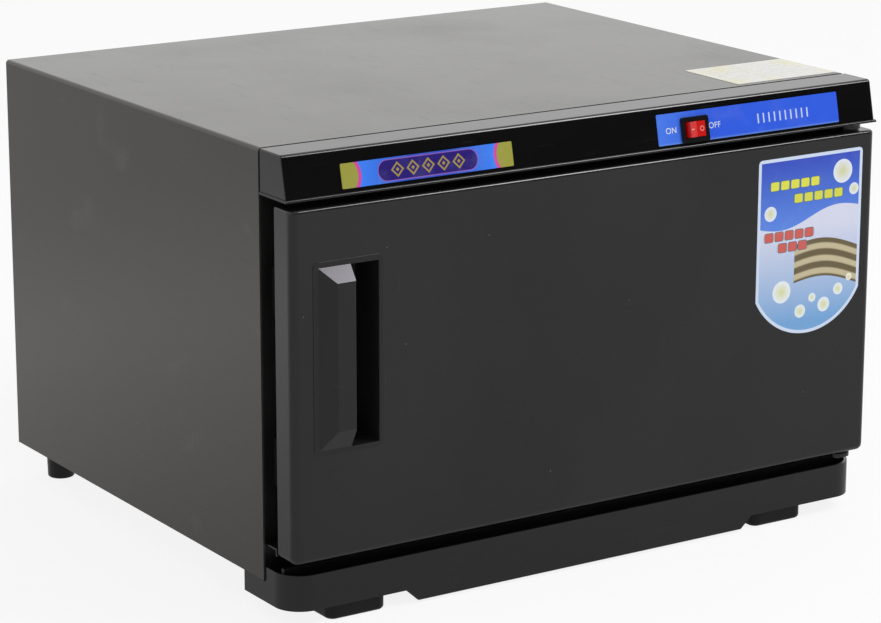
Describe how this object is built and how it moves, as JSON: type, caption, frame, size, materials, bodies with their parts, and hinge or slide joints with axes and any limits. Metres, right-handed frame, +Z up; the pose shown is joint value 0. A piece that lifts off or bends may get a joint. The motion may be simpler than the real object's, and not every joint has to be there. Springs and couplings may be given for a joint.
{
  "type": "sterilizer cabinet",
  "caption": "Counter-top towel sterilizer cabinet: black sheet shell, hinged insulated door with recessed grip, rocker switch, wire racks, UV lamp and heater, drip trough.",
  "frame": {"origin": "on the surface that the feet stand on, below the middle of the cabinet's bounding box", "axes": "+Z up, front (door) toward -Y, +X to the right when seen from the front, along the cabinet's width"},
  "size_m": [0.452, 0.395, 0.2962],
  "materials": {
    "black_paint": "semi-gloss black stoving paint",
    "galvanised_sheet": "plain galvanised sheet",
    "door_paint": "smooth semi-gloss black paint",
    "gloss_moulding": "polished black moulding",
    "satin_moulding": "satin black moulding",
    "handle_moulding": "satin black moulding with bright edges",
    "foot_rubber": "moulded black rubber",
    "gasket_rubber": "soft black rubber",
    "inner_panel": "vacuum-formed pale grey sheet",
    "bright_sheet": "brushed stainless sheet",
    "rack_wire": "bright plated wire",
    "zinc_screw": "bright zinc plating",
    "black_steel": "black enamelled steel",
    "nylon": "black nylon",
    "black_plastic": "fine-textured black plastic",
    "strike_steel": "plated mild steel",
    "foam": "cut rigid foam",
    "wool": "mineral wool",
    "title_print": "printed metallised film",
    "control_print": "blue printed film",
    "rocker_red": "translucent red moulding",
    "sticker_print": "gloss laminated paper",
    "paper": "plain coated paper",
    "quartz": "clear quartz glass",
    "lamp_metal": "pressed aluminium",
    "lamp_ceramic": "white heat-resistant moulding",
    "ballast_steel": "varnished steel",
    "heater_ceramic": "anodised heater case",
    "thermostat_case": "dark phenolic moulding",
    "brass": "plain brass",
    "wire_skin": "silicone wire insulation"
  },
  "bodies": {
    "cabinet": {"outer_shell": "black_paint", "base_pan": "galvanised_sheet", "rear_panel": "black_paint", "rear_screws": "zinc_screw", "cord_gland": "black_plastic", "gland_nut": "black_plastic", "front_frame": "black_paint", "chamber_liner": "bright_sheet", "rack_rails": "bright_sheet", "lamp_tube": "quartz", "lamp_caps": "lamp_metal", "lamp_holders": "lamp_ceramic", "lamp_guard": "bright_sheet", "heater_plate": "lamp_metal", "heater_bars": "heater_ceramic", "thermostat": "thermostat_case", "thermal_fuse": "thermostat_case", "ballast": "ballast_steel", "lamp_starter": "lamp_ceramic", "terminal_block": "lamp_ceramic", "insulation": "wool", "wires": "wire_skin", "top_fascia": "gloss_moulding", "title_plate": "title_print", "control_plate": "control_print", "switch_housing": "black_plastic", "switch_blades": "brass", "paper_label": "paper", "trough_rails": "galvanised_sheet", "front_feet": "foot_rubber", "rear_feet": "foot_rubber", "foot_screws": "zinc_screw", "upper_bracket": "black_steel", "lower_bracket": "black_steel", "hinge_pins": "zinc_screw", "hinge_screws": "zinc_screw", "catch_magnets": "black_plastic", "door_sensor": "black_plastic"},
    "door": {"door_outer_panel": "door_paint", "door_inner_panel": "inner_panel", "door_foam": "foam", "door_gasket": "gasket_rubber", "door_handle": "handle_moulding", "door_sticker": "sticker_print", "hinge_blocks": "black_plastic", "hinge_bushes": "nylon", "catch_plates": "strike_steel", "sensor_magnet": "strike_steel"},
    "rocker": {"switch_rocker": "rocker_red"},
    "upper_rack": {"upper_rack": "rack_wire"},
    "lower_rack": {"lower_rack": "rack_wire"},
    "trough": {"drip_trough": "satin_moulding"}
  },
  "joints": [
    {"name": "door_hinge", "type": "hinge", "parent": "cabinet", "child": "door", "pos_m": [0.212, -0.1775, 0.154], "axis": [0, 0, 1], "range_deg": [0, 120]},
    {"name": "switch_rock", "type": "hinge", "parent": "cabinet", "child": "rocker", "pos_m": [0.077, -0.18223, 0.27837], "axis": [0, -0.2117, -0.9773], "range_deg": [0, 20]},
    {"name": "upper_rack_slide", "type": "slide", "parent": "cabinet", "child": "upper_rack", "axis": [0, -1, 0], "range_m": [0, 0.01]},
    {"name": "lower_rack_slide", "type": "slide", "parent": "cabinet", "child": "lower_rack", "axis": [0, -1, 0], "range_m": [0, 0.01]},
    {"name": "trough_slide", "type": "slide", "parent": "cabinet", "child": "trough", "axis": [0, -1, 0], "range_m": [0, 0.05]}
  ]
}
